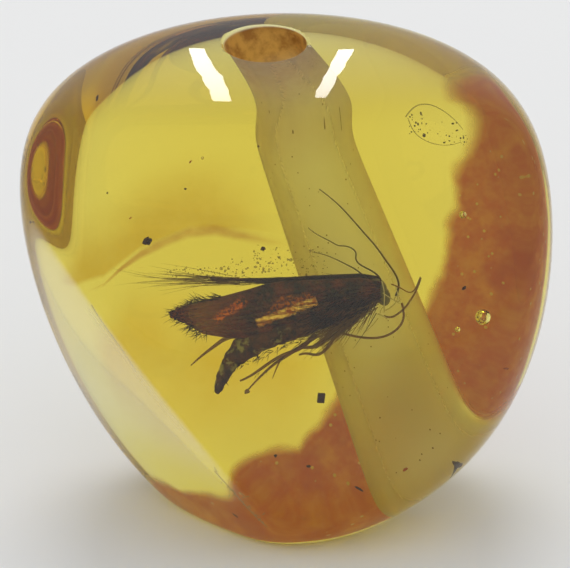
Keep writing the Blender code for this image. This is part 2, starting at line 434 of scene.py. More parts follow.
def amberMaterial():
    # Baltic amber, polished by hand: glassy and yellow, with an oxidised orange-brown crust left
    # on the back and a drilled bore whose frosted wall reads as a pale tube.
    material, tree, out = newMaterial("polished amber with crust")
    place = inMillimetres(tree)

    # where the crust is, with a wandering edge
    right, low, under = (dot(tree, place, *plane) for plane in amber["crustPlanes"])
    anyOf = maths(tree, "MAXIMUM", maths(tree, "MAXIMUM", right, low), under)
    behind = dot(tree, place, *amber["crustBehind"])
    wander = maths(tree, "MULTIPLY_ADD", noise(tree, place, 0.7, 3.0, 0.4), 1.1, -0.55)
    reaches = maths(tree, "ADD", maths(tree, "MINIMUM", anyOf, behind), wander)
    crust = ramp(tree, reaches, *amber["crustEdge"])

    # where the bore's wall is: how far from its axis, how far from its bottom, and which side
    axis = (bore["top"] - bore["bottom"]).normalized()
    slope = (bore["topRadius"] - bore["bottomRadius"]) / (bore["top"] - bore["bottom"]).length
    fromBottom = add(tree, "VectorMath", {0: place, 1: tuple(bore["bottom"] / mm)},
                     operation="SUBTRACT"), 0
    radial = add(tree, "VectorMath", {0: fromBottom, 1: tuple(axis)}, operation="CROSS_PRODUCT"), 0
    fromAxis = add(tree, "VectorMath", {0: radial}, operation="LENGTH"), "Value"
    up = dot(tree, fromBottom, tuple(axis))
    reach = maths(tree, "MULTIPLY_ADD", up, slope, bore["bottomRadius"] / mm)
    wall = ramp(tree, maths(tree, "SUBTRACT", fromAxis, reach), 0.035, 0.012)
    high = ramp(tree, up, 7.8, 10.6)
    acrossAxis = Vector((1, 0, 0)).cross(axis).normalized()
    farSide = ramp(tree, dot(tree, fromBottom, tuple(-acrossAxis)), -0.3, 0.2)

    # colours
    cloudy = ramp(tree, noise(tree, place, 2.2, 5.0, 0.65), 0.3, 0.75)
    tone = blend(tree, cloudy, linear("#E87428"), linear("#FFB45C"))
    tone = blend(tree, ramp(tree, noise(tree, place, 0.8), 0.55, 0.80), tone, linear("#D85A20"))
    # pale dots on the crust: its tiny pits, with their glints painted into the colour as a painted highlight
    tone = blend(tree, dots(tree, place, 4.0, 0.16), tone, linear("#FFE0A0"))
    # seen through the amber the crust is orange, and its outer side is weathered brown
    fromInside = add(tree, "NewGeometry"), "Backfacing"
    weathered = blend(tree, noise(tree, place, 2.6, 5.0, 0.7), linear("#84401A"), linear("#C98A50"))
    tone = blend(tree, fromInside, weathered, tone)
    crustOnly = maths(tree, "MULTIPLY", crust, maths(tree, "SUBTRACT", 1.0, wall))
    tone = blend(tree, crustOnly, (1.0, 1.0, 1.0, 1.0), tone)
    mottle = ramp(tree, noise(tree, place, 3.0, 4.0, 0.6), 0.35, 0.65)
    stained = blend(tree, mottle, linear(amber["stainDark"]), linear(amber["stainLight"]))
    tan = blend(tree, mottle, linear("#D9B080"), linear("#E8C8A0"))
    wallTone = blend(tree, high, linear(amber["wallColor"]), blend(tree, farSide, tan, stained))
    wallTone = blend(tree, dots(tree, place, 5.0, 0.10), wallTone, linear("#7A5A20"))
    tone = blend(tree, wall, tone, wallTone)

    # finish: the crust and the wall are matt, and the left facet is ground but hardly polished
    facing = add(tree, "TexCoord"), "Normal"
    facet = ramp(tree, dot(tree, facing, amber["facetFacing"]), 0.90, 0.975)
    rough = maths(tree, "MULTIPLY", crustOnly, amber["crustRoughness"])
    rough = maths(tree, "MULTIPLY_ADD", wall, amber["wallRoughness"], rough)
    rough = maths(tree, "MULTIPLY_ADD", facet, amber["facetRoughness"], rough)
    lowClear, highClear = amber["wallClear"]
    wallClear = maths(tree, "MULTIPLY_ADD", ramp(tree, up, 4.5, 8.5), highClear - lowClear, lowClear)
    dull = maths(tree, "MULTIPLY", wall, maths(tree, "SUBTRACT", 1.0, wallClear))
    haze = maths(tree, "MULTIPLY", facet, ramp(tree, dot(tree, place, (0.0, 0.0, 1.0)), 1.0, 3.2))
    dull = maths(tree, "MULTIPLY_ADD", haze, amber["facetHaze"], dull)
    clear = maths(tree, "SUBTRACT", maths(tree, "MULTIPLY_ADD", crustOnly, -amber["crustOpaque"], 1.0), dull)
    bump = add(tree, "Bump", {"Height": noise(tree, place, 12.0),
                              "Strength": maths(tree, "MULTIPLY", wall, 0.15),
                              "Distance": 0.02 * mm})
    shader = add(tree, "BsdfPrincipled", {"IOR": amber["ior"], "Base Color": tone, "Roughness": rough,
                                          "Transmission Weight": clear, "Normal": (bump, 0)})
    absorb = add(tree, "VolumeAbsorption", {"Color": amber["tint"], "Density": amber["density"]})
    tree.links.new(shader.outputs[0], out.inputs["Surface"])
    tree.links.new(absorb.outputs[0], out.inputs["Volume"])
    return material


beadPiece = makeBead()
beadPiece.data.materials.clear()
beadPiece.data.materials.append(amberMaterial())
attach(beadPiece, "root")
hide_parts("amber_front", "amber_back")
print("bead made")

# the moth: it lies on its side in the parting plane, head to the right, leaning back a little
moth = {
    "depth": -1.69,  # y of the plane it lies in
    "lean": 0.30,  # how much lower a point is for each mm that it is further back
    "wingCuts": (150, 44),
    "wingThickness": 0.03,
    # stations from the wing's tip to its root, in mm: x and height of the upper edge and of the lower edge
    "forewing": ((-2.49, 5.20, -2.47, 5.16), (-2.36, 5.32, -2.30, 5.04), (-2.10, 5.43, -2.05, 4.90),
                 (-1.73, 5.54, -1.77, 4.73), (-1.33, 5.63, -1.40, 4.67), (-0.90, 5.77, -0.90, 4.61),
                 (-0.46, 5.92, -0.42, 4.61), (-0.03, 5.99, 0.08, 4.66), (0.52, 6.01, 0.52, 4.78),
                 (1.06, 6.04, 1.06, 4.99), (1.61, 6.06, 1.61, 5.25), (2.06, 5.97, 2.04, 5.52)),
    "hindEdge": ((-1.62, 5.98, -1.62, 5.96), (-1.00, 6.00, -1.00, 5.94), (-0.52, 6.01, -0.52, 5.88),
                 (0.10, 6.03, 0.10, 5.80), (0.90, 6.08, 0.90, 5.70), (1.60, 6.11, 1.60, 5.70),
                 (2.00, 6.04, 2.00, 5.70)),
    "wingDepth": -0.30,
    "hindDepth": 0.16,
    # ellipsoids: x, height, depth, then half length, half height, half width, and slope in degrees
    "bodyBalls": ((1.05, 5.42, 0.0, 0.80, 0.47, 0.33, 14), (1.55, 5.62, 0.0, 0.48, 0.36, 0.28, 6),
                  (0.45, 5.12, 0.0, 0.62, 0.36, 0.28, 22), (1.25, 5.12, -0.02, 0.42, 0.26, 0.22, 32)),
    # abdomen stations: x, height, depth, radius
    "abdomen": ((0.75, 5.16, 0.0, 0.34), (0.30, 4.99, 0.0, 0.36), (-0.18, 4.80, 0.0, 0.34),
                (-0.60, 4.60, 0.0, 0.31),
                (-0.92, 4.38, 0.0, 0.27), (-1.12, 4.14, 0.0, 0.21), (-1.26, 3.90, 0.0, 0.165),
                (-1.36, 3.66, 0.0, 0.135), (-1.43, 3.46, 0.0, 0.11), (-1.46, 3.38, 0.0, 0.07)),
    "grain": 0.034,  # voxel the body is fused at
    "headGrain": 0.02,
    "fraySeed": 5,
    "frayFrom": -1.75,  # x where the wing's tip starts to fray, and over what length
    "frayOver": 0.7,
}


def mothPlace(x, height, depth=0.0):
    return Vector((x, moth["depth"] + depth, height - moth["lean"] * depth)) * mm


def sheetBetween(name, stations, cuts, depthAt):
    # a sheet between two edges, its depth a function of how far along and across a point is
    deselectAll()
    bpy.ops.mesh.primitive_grid_add(x_subdivisions=cuts[0], y_subdivisions=cuts[1], size=2.0)
    piece = named(name)
    flat = meshPoints(piece)
    along, across = (flat[:, 0] + 1) / 2, (flat[:, 1] + 1) / 2
    rows = np.array(stations)
    at = np.linspace(0, 1, len(rows))
    upper = np.stack([np.interp(along, at, rows[:, 0]), np.interp(along, at, rows[:, 1])])
    lower = np.stack([np.interp(along, at, rows[:, 2]), np.interp(along, at, rows[:, 3])])
    x, height = lower + (upper - lower) * across
    depth = depthAt(along, across)
    movePoints(piece, np.stack([x, moth["depth"] + depth, height - moth["lean"] * depth], axis=1) * mm)
    thicken = piece.modifiers.new("thickness", "SOLIDIFY")
    thicken.thickness = moth["wingThickness"] * mm
    thicken.offset = 0.0
    applyAll(piece)
    bpy.ops.object.shade_smooth()
    return piece


def makeForewing():
    def depthAt(along, across):  # roofed over the body, with folds towards the tip and shallow veins
        roof = 0.16 * (2 * across - 1.1) ** 2
        folds = 0.035 * np.sin(26 * across + 3.0 * along) * (1 - along) ** 2
        veins = 0.012 * np.sin(60 * across - 9 * along)
        return moth["wingDepth"] + roof + folds + veins

    piece = sheetBetween("forewing", moth["forewing"], moth["wingCuts"], depthAt)
    points = meshPoints(piece)
    rng = np.random.default_rng(moth["fraySeed"])
    ragged = np.clip((moth["frayFrom"] * mm - points[:, 0]) / (moth["frayOver"] * mm), 0, 1)
    points[:, [0, 2]] += rng.normal(0, 0.022 * mm, (len(points), 2)) * ragged[:, None]
    movePoints(piece, points)
    return piece


def makeHindEdge():
    return sheetBetween("hindwing_edge", moth["hindEdge"], (60, 8),
                        lambda along, across: moth["hindDepth"] + 0.05 * across)


def bodyBall(x, height, depth, halfLength, halfHeight, halfWidth, slope):
    bpy.ops.mesh.primitive_uv_sphere_add(segments=32, ring_count=20, radius=mm)
    ball = named("body_ball")
    ball.scale = (halfLength, halfWidth, halfHeight)
    ball.rotation_euler = (0, -math.radians(slope), 0)
    ball.location = mothPlace(x, height, depth)
    return applyPlace(ball)


def thread(name, line, radius, tip=0.4, sides=3):
    # a tapering thread along places (x, height, depth), smooth, closed at both ends
    deselectAll()
    bpy.ops.curve.primitive_nurbs_path_add()
    piece = named(name)
    curve = piece.data
    curve.splines.remove(curve.splines[0])
    spline = curve.splines.new("NURBS")
    spline.points.add(len(line) - 1)
    for index, (point, place) in enumerate(zip(spline.points, line)):
        point.co = (*mothPlace(*place), 1.0)
        point.radius = 1 + (tip - 1) * index / (len(line) - 1)
    spline.order_u = 4
    spline.use_endpoint_u = True
    spline.resolution_u = 8
    curve.bevel_depth = radius * mm
    curve.bevel_resolution = sides
    curve.use_fill_caps = True
    bpy.ops.object.convert(target="MESH")
    piece = bpy.context.object
    bpy.ops.object.mode_set(mode="EDIT")
    bpy.ops.mesh.select_all(action="SELECT")
    bpy.ops.mesh.remove_doubles(threshold=radius * mm * 0.05)
    bpy.ops.mesh.normals_make_consistent(inside=False)
    bpy.ops.object.mode_set(mode="OBJECT")
    bpy.ops.object.shade_smooth()
    return piece


def fuse(piece, grain, rounds):  # overlapping balls to one soft skin
    skin = piece.modifiers.new("fuse", "REMESH")
    skin.mode = "VOXEL"
    skin.voxel_size = grain * mm
    soften = piece.modifiers.new("soften", "SMOOTH")
    soften.iterations = rounds


def makeBody():
    pieces = [bodyBall(*ball) for ball in moth["bodyBalls"]]
    for x, height, depth, radius in moth["abdomen"]:
        pieces.append(bodyBall(x, height, depth, radius * 0.85, radius, radius * 0.85, 45))
    rows = moth["abdomen"]
    for (x, height, depth, radius), (x2, height2, depth2, radius2) in zip(rows, rows[1:]):
        middle = ((x + x2) / 2, (height + height2) / 2, (depth + depth2) / 2)
        width = radius + radius2
        pieces.append(bodyBall(*middle, width * 0.46, width * 0.48, width * 0.42, 45))
    body = joinAll("moth_body", pieces)
    fuse(body, moth["grain"], 3)
    for name, scale, strength in (("lumps", 0.22, 0.09), ("scales", 0.07, 0.045)):
        texture = bpy.data.textures.new(name, "CLOUDS")
        texture.noise_scale = scale * mm
        rough = body.modifiers.new(name, "DISPLACE")
        rough.texture = texture
        rough.texture_coords = "LOCAL"
        rough.strength = strength * mm
        rough.mid_level = 0.5
    applyAll(body)
    bpy.ops.object.shade_smooth()
    return body


def makeHead():
    head = bodyBall(1.93, 5.74, -0.02, 0.25, 0.27, 0.22, -15)
    snout = bodyBall(2.10, 5.60, -0.02, 0.15, 0.22, 0.16, 10)
    head = joinAll("moth_head", [head, snout])
    fuse(head, moth["headGrain"], 4)
    applyAll(head)
    bpy.ops.object.shade_smooth()
    return head


# every line: places (x, height, depth) in mm, then its radius at the root and how thin its tip is
limbs = {
    "hind_leg": (((0.62, 4.72, 0.0), (0.42, 4.46, -0.05), (0.20, 4.33, -0.08), (-0.05, 4.25, -0.08),
                  (-0.25, 4.13, -0.06), (-0.53, 3.92, -0.04), (-0.79, 3.70, 0.0), (-0.98, 3.62, 0.02)),
                  0.052, 0.4),
    "hind_shin": (((0.66, 4.66, 0.05), (0.30, 4.42, 0.05), (0.02, 4.20, 0.03), (-0.22, 4.06, 0.0),
                   (-0.48, 3.80, 0.0), (-0.66, 3.60, 0.02), (-0.80, 3.42, 0.04)), 0.045, 0.35),
    "hind_foot_end": (((-0.80, 3.40, 0.03), (-0.84, 3.36, 0.03), (-0.88, 3.36, 0.03)), 0.05, 0.8),
    "hind_spur": (((-0.12, 4.14, -0.06), (-0.22, 3.90, -0.05), (-0.29, 3.68, -0.04)), 0.024, 0.3),
    "middle_leg": (((1.24, 4.95, 0.0), (1.08, 4.72, -0.08), (0.92, 4.45, -0.10), (0.76, 4.26, -0.10),
                    (0.58, 4.22, -0.10), (0.42, 4.30, -0.10), (0.28, 4.24, -0.08)), 0.045, 0.5),
    "middle_shin": (((1.00, 4.86, 0.05), (0.80, 4.52, 0.02), (0.60, 4.36, 0.0), (0.36, 4.42, 0.0),
                     (0.20, 4.36, 0.0)),
                    0.055, 0.5),
    "wing_spur": (((-0.79, 4.66, 0.0), (-1.06, 4.70, -0.02), (-1.31, 4.63, -0.04), (-1.50, 4.46, -0.05),
                   (-1.70, 4.30, -0.05), (-1.90, 4.12, -0.05), (-2.03, 3.98, -0.05)), 0.065, 0.18),
    "foreleg": (((2.50, 5.46, -0.18), (2.55, 5.28, -0.20), (2.56, 5.05, -0.20), (2.37, 4.80, -0.20),
                 (2.12, 4.66, -0.18), (1.85, 4.62, -0.16), (1.53, 4.65, -0.12), (1.20, 4.74, -0.08)),
                 0.024, 1.1),
    "palp": (((2.93, 6.06, -0.16), (2.90, 5.93, -0.16), (2.79, 5.67, -0.18), (2.62, 5.40, -0.18),
              (2.45, 5.22, -0.18), (2.24, 5.08, -0.16), (2.10, 5.16, -0.14)), 0.020, 1.1),
    "upper_loop": (((2.28, 5.90, -0.10), (2.40, 5.86, -0.12), (2.51, 5.80, -0.14), (2.66, 5.69, -0.16),
                    (2.80, 5.74, -0.16), (2.86, 5.93, -0.16), (2.92, 6.08, -0.16)), 0.016, 0.7),
}
feelers = {
    "long_antenna": (((2.36, 5.60, 0.06), (2.45, 5.80, 0.06), (2.42, 5.99, 0.06), (2.33, 6.19, 0.05),
                      (2.13, 6.49, 0.05),
                      (1.96, 6.78, 0.05), (1.72, 7.08, 0.04), (1.41, 7.49, 0.02), (1.15, 7.82, 0.0),
                      (0.92, 8.03, 0.0), (0.73, 8.19, 0.0)), 0.024, 0.42),
    "wavy_antenna": (((2.12, 5.75, -0.22), (2.08, 6.02, -0.20), (1.96, 6.17, -0.18), (1.80, 6.27, -0.16),
                      (1.60, 6.37, -0.14), (1.49, 6.50, -0.12), (1.54, 6.65, -0.12), (1.45, 6.77, -0.10),
                      (1.28, 6.83, -0.08), (1.13, 6.81, -0.06), (0.98, 6.92, -0.04), (0.74, 7.04, 0.0),
                      (0.58, 7.14, 0.02), (0.48, 7.24, 0.04)), 0.020, 0.40),
    "third_antenna": (((1.80, 5.95, 0.10), (1.63, 6.11, 0.12), (1.50, 6.23, 0.12), (1.30, 6.34, 0.12),
                       (1.04, 6.49, 0.12), (0.78, 6.60, 0.14), (0.56, 6.64, 0.14)), 0.018, 0.35),
}
# pale threads by the head: the mouthparts, and low_glint and lower_line, which are pale lines laid where
# glints show, painted highlights
mouthparts_and_glints = {
    "front_line": (((2.08, 6.00, -0.28), (2.13, 5.80, -0.30), (2.14, 5.60, -0.30), (2.12, 5.42, -0.28),
                    (2.12, 5.26, -0.26)), 0.015, 0.8),
    "across_line": (((2.10, 5.72, -0.28), (2.20, 5.64, -0.28), (2.32, 5.55, -0.26), (2.46, 5.46, -0.24)),
                    0.012, 0.8),
    "lower_line": (((2.14, 5.30, -0.27), (2.26, 5.36, -0.27), (2.38, 5.47, -0.25), (2.44, 5.60, -0.22),
                    (2.40, 5.78, -0.20)), 0.013, 0.7),
    "coil": (((2.34, 5.54, -0.26), (2.36, 5.64, -0.27), (2.46, 5.66, -0.27), (2.50, 5.57, -0.26),
              (2.44, 5.49, -0.25),
              (2.37, 5.52, -0.24)), 0.012, 0.8),
    "low_glint": (((1.98, 5.22, -0.26), (2.04, 5.20, -0.27), (2.12, 5.16, -0.27), (2.18, 5.10, -0.26)),
                  0.017, 0.8),
    "cheek_line": (((2.12, 5.42, -0.28), (2.04, 5.32, -0.28), (2.03, 5.24, -0.27)), 0.012, 0.8),
    "fine_hair": (((1.98, 5.10, -0.15), (1.90, 4.98, -0.15), (1.80, 4.86, -0.15), (1.66, 4.75, -0.15)),
                  0.009, 0.6),
}

hair = {
    "sides": 5,
    "steps": 6,
    "seeds": {"dark": 11, "tan": 12, "pale": 13},
    # name: (how many, from place, to place, angle and its spread in degrees, length from and to,
    # radius, sag, scatter)
    "dark": (
        (60, (-2.02, 5.44, -0.22), (-2.46, 5.20, -0.24), 172, 16, 0.08, 0.30, 0.006, 0.05, 0.05),
        (60, (-2.46, 5.20, -0.24), (-1.80, 4.76, -0.24), 200, 20, 0.08, 0.28, 0.006, -0.05, 0.05),
        (26, (-2.12, 4.98, -0.26), (-1.72, 4.72, -0.28), 232, 30, 0.10, 0.30, 0.009, -0.05, 0.04),
        (60, (-1.40, 5.62, -0.20), (-2.05, 5.46, -0.22), 165, 16, 0.10, 0.32, 0.008, 0.05, 0.04),
        (70, (-0.60, 5.96, 0.0), (1.90, 6.04, -0.1), 182, 10, 0.20, 0.65, 0.009, 0.02, 0.03),
        (90, (1.00, 5.55, -0.32), (1.95, 5.62, -0.28), 218, 14, 0.40, 1.10, 0.012, -0.06, 0.12),
        (60, (0.70, 5.10, -0.28), (1.60, 5.30, -0.28), 205, 16, 0.30, 0.80, 0.011, -0.05, 0.10),
        (60, (0.45, 4.66, -0.15), (-1.05, 3.98, -0.10), 222, 28, 0.06, 0.20, 0.008, -0.03, 0.04),
        (30, (-1.10, 4.20, -0.12), (-1.42, 3.50, -0.08), 262, 40, 0.05, 0.16, 0.008, -0.02, 0.04),
        (26, (0.60, 4.70, -0.05), (-0.70, 3.72, -0.02), 240, 20, 0.06, 0.16, 0.006, -0.02, 0.02),
    ),
    "tan": (
        (120, (2.02, 5.55, -0.26), (1.10, 4.86, -0.20), 217, 9, 0.45, 1.20, 0.010, -0.05, 0.07),
        (30, (1.90, 5.30, -0.24), (1.00, 4.72, -0.15), 226, 12, 0.25, 0.60, 0.009, -0.05, 0.05),
        (50, (-0.10, 4.66, -0.20), (0.90, 4.80, -0.20), 205, 18, 0.20, 0.50, 0.009, -0.05, 0.08),
    ),
    "pale": (
        (34, (-1.50, 5.95, 0.15), (-0.40, 5.90, 0.15), 178, 5, 0.80, 2.20, 0.009, 0.02, 0.05),
        (18, (-1.90, 6.00, 0.15), (-1.00, 5.97, 0.15), 183, 3, 1.20, 2.10, 0.008, -0.06, 0.05),
    ),
}


def hairModel():  # one hair, standing on the origin, 1 high and 1 in radius at its root
    deselectAll()
    bpy.ops.mesh.primitive_circle_add(vertices=hair["sides"], radius=1.0, fill_type="NGON")
    model = named("hair_model")
    bpy.ops.object.mode_set(mode="EDIT")
    width = 1.0
    for step in range(1, hair["steps"] + 1):
        bpy.ops.mesh.extrude_region_move(TRANSFORM_OT_translate={"value": (0, 0, 1 / hair["steps"])})
        narrower = (1 - 0.85 * (step / hair["steps"]) ** 1.5) / width
        bpy.ops.transform.resize(value=(narrower, narrower, 1.0),
                                 center_override=(0, 0, step / hair["steps"]))
        width *= narrower
    bpy.ops.mesh.select_all(action="SELECT")
    bpy.ops.mesh.normals_make_consistent(inside=False)
    bpy.ops.object.mode_set(mode="OBJECT")
    return model


def makeHairs(name, groups, seed):  # copies of the one hair, each bent its own way, as one piece
    shape, faces = takeShape(hairModel())
    rng = np.random.default_rng(seed)
    points, allFaces, base = [], [], 0
    for count, start, end, angle, spread, shortest, longest, radius, sag, scatter in groups:
        for _ in range(count):
            root = np.array(start) + (np.array(end) - np.array(start)) * rng.random()
            root[:2] += rng.normal(0, scatter, 2)
            root[2] += rng.normal(0, 0.03)
            turn = math.radians(rng.normal(angle, spread))
            length = rng.uniform(shortest, longest)
            way = np.array((math.cos(turn), math.sin(turn), rng.normal(0, 0.12)))
            across = np.array((-way[1], way[0], 0.0)) / math.hypot(way[0], way[1])
            other = np.cross(way, across)
            bend = rng.normal(sag, abs(sag) * 0.8 + 0.03) * length
            t = shape[:, 2]
            thick = radius * rng.uniform(0.7, 1.3)
            spot = (root + np.outer(t * length, way) + np.outer(t**2 * bend, across)
                    + np.outer(shape[:, 0] * thick, across) + np.outer(shape[:, 1] * thick, other))
            points.append(np.stack([spot[:, 0], moth["depth"] + spot[:, 2],
                                    spot[:, 1] - moth["lean"] * spot[:, 2]], axis=1) * mm)
            # placing a hair swaps two axes, which turns it inside out, so its faces are turned back
            allFaces += [tuple(base + corner for corner in reversed(face)) for face in faces]
            base += len(shape)
    return meshFrom(name, points, allFaces)


def plainMaterial(name, color, roughness, solid=1.0, metallic=0.0):
    material, tree, out = newMaterial(name)
    shader = add(tree, "BsdfPrincipled", {"Base Color": linear(color), "Roughness": roughness,
                                          "Metallic": metallic})
    if solid < 1.0:
        seeThrough(tree, shader, solid, out)
    else:
        tree.links.new(shader.outputs[0], out.inputs["Surface"])
    return material


def wingMaterial():
    # A forewing's scales: nearly black brown, with a gilded band, a copper streak before the tip
    # and a thin tip that the light comes through.
    material, tree, out = newMaterial("wing scales, brown and gold")
    place = inMillimetres(tree)
    upright = (0.0, moth["lean"], 1.0)  # heights as if the moth stood plumb
    shift = -moth["lean"] * moth["depth"]

    def along(start, turn):  # places along and across a line from start, turn degrees up from level
        c, s = math.cos(math.radians(turn)), math.sin(math.radians(turn))
        alongWay = Vector((c, 0, 0)) + Vector(upright) * s
        acrossWay = Vector((-s, 0, 0)) + Vector(upright) * c
        down = dot(tree, place, tuple(alongWay), c * start[0] + s * (start[1] - shift))
        aside = dot(tree, place, tuple(acrossWay), -s * start[0] + c * (start[1] - shift))
        return down, aside

    def within(value, low, high, soft):
        return maths(tree, "MULTIPLY", ramp(tree, value, low - soft, low + soft),
                     ramp(tree, value, high + soft, high - soft))

    fine = noise(tree, place, 9.0, 4.0, 0.7)
    wobble = maths(tree, "MULTIPLY_ADD", fine, 0.16, -0.08)
    down, aside = along((-0.66, 4.98), 23.0)
    asideRough = maths(tree, "ADD", aside, wobble)
    band = maths(tree, "MULTIPLY", within(down, 0.03, 1.44, 0.02), within(asideRough, -0.09, 0.10, 0.03))
    underLine = maths(tree, "MULTIPLY_ADD", down, -0.236, 0.58)
    leftLine = maths(tree, "MULTIPLY", down, 0.52)
    room = maths(tree, "MINIMUM", maths(tree, "SUBTRACT", underLine, asideRough),
                 maths(tree, "SUBTRACT", leftLine, asideRough))
    bronze = maths(tree, "MULTIPLY", ramp(tree, room, -0.03, 0.05),
                   maths(tree, "MULTIPLY", within(down, 0.2, 1.40, 0.03), ramp(tree, aside, 0.0, 0.08)))
    flecks = ramp(tree, noise(tree, place, 14.0, 2.0), 0.42, 0.60)
    bronze = maths(tree, "MULTIPLY", bronze, maths(tree, "MULTIPLY_ADD", flecks, 0.75, 0.15))
    gold = maths(tree, "MAXIMUM", band, bronze)
    downCopper, asideCopper = along((-1.58, 5.04), 37.0)
    copper = maths(tree, "MULTIPLY", within(downCopper, 0.05, 0.85, 0.08),
                   within(maths(tree, "ADD", asideCopper, wobble), -0.10, 0.10, 0.05))
    copper = maths(tree, "MULTIPLY", copper, ramp(tree, noise(tree, place, 11.0, 3.0, 0.7), 0.42, 0.56))
    metal = maths(tree, "MAXIMUM", gold, copper)

    brown = blend(tree, ramp(tree, noise(tree, place, 3.0, 5.0, 0.7), 0.38, 0.70), linear("#1E0A06"),
                  linear("#6E2E14"))
    tip = ramp(tree, dot(tree, place, (-1.0, 0.0, 0.0), 0.6), 0.0, 1.4)
    brown = blend(tree, tip, brown, linear("#8C4416"))
    shine = ramp(tree, noise(tree, place, 6.0, 4.0, 0.6), 0.34, 0.66)
    gilt = blend(tree, shine, linear("#C07A1E"), linear("#FFE08C"))
    tone = blend(tree, bronze, brown, linear("#B46A20"))
    tone = blend(tree, band, tone, gilt)
    tone = blend(tree, copper, tone, linear("#E07C2A"))
    scales = add(tree, "TexVoronoi", {"Vector": place, "Scale": 16.0})
    bump = add(tree, "Bump", {"Height": (scales, "Distance"), "Strength": 0.8, "Distance": 0.03 * mm})
    shader = add(tree, "BsdfPrincipled", {"Base Color": tone, "Metallic": metal, "Roughness": 0.34,
                                          "Normal": (bump, 0)})
    thin = maths(tree, "MULTIPLY", tip, maths(tree, "MULTIPLY_ADD", fine, 0.8, -0.18))
    seeThrough(tree, shader, maths(tree, "SUBTRACT", 1.0, thin), out)
    return material


def bodyMaterial():
    # The body: matted dark scales, worn to grey-green skin in blotches on the abdomen.
    material, tree, out = newMaterial("matted body scales")
    place = inMillimetres(tree)
    dark = blend(tree, ramp(tree, noise(tree, place, 5.0, 5.0, 0.7), 0.35, 0.7), linear("#1E0C07"),
                 linear("#6A3A1C"))
    behind = ramp(tree, dot(tree, place, (-1.0, 0.0, 0.0), -0.4), 0.0, 0.6)
    bare = maths(tree, "MULTIPLY", behind, ramp(tree, noise(tree, place, 3.4, 3.0, 0.6), 0.50, 0.62))
    tone = blend(tree, bare, dark, linear("#A09C6C"))
    bump = add(tree, "Bump", {"Height": noise(tree, place, 18.0, 3.0), "Strength": 0.7,
                              "Distance": 0.02 * mm})
    shader = add(tree, "BsdfPrincipled", {"Base Color": tone, "Roughness": 0.55, "Normal": (bump, 0)})
    tree.links.new(shader.outputs[0], out.inputs["Surface"])
    return material


def mothPiece(piece, material):
    piece.data.materials.clear()
    piece.data.materials.append(material)
    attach(piece, "root")
    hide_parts("moth")
    return piece


def makeThreads(name, lines):
    return joinAll(name, [thread(part, *settings) for part, settings in lines.items()])


mothPiece(makeForewing(), wingMaterial())
mothPiece(makeHindEdge(), plainMaterial("dark wing edge", "#381608", 0.5, 0.85))
mothPiece(makeBody(), bodyMaterial())
mothPiece(makeHead(), plainMaterial("grey-green skin", "#6E6A44", 0.35, 0.75))
legBrown = plainMaterial("golden brown leg", "#84561C", 0.35, 0.75)
mothPiece(makeThreads("moth_legs", limbs), legBrown)
mothPiece(makeThreads("moth_antennae", feelers), plainMaterial("dark antenna", "#3A240E", 0.4, 0.95))
# one pale material for the mouthparts and for the painted glints low_glint and lower_line
mothPiece(makeThreads("moth_mouthparts_and_glints", mouthparts_and_glints), plainMaterial("pale mouthpart and painted glint", "#D8D0A8", 0.2))
mothPiece(makeHairs("moth_dark_hairs", hair["dark"], hair["seeds"]["dark"]),
          plainMaterial("dark hair scale", "#3A1E0E", 0.5, 0.7))
mothPiece(makeHairs("moth_tan_hairs", hair["tan"], hair["seeds"]["tan"]),
          plainMaterial("tan hair scale", "#8C6C3A", 0.4, 0.8))
mothPiece(makeHairs("moth_pale_hairs", hair["pale"], hair["seeds"]["pale"]),
          plainMaterial("pale wing vein", "#7A5214", 0.5, 0.45))
print("moth made")


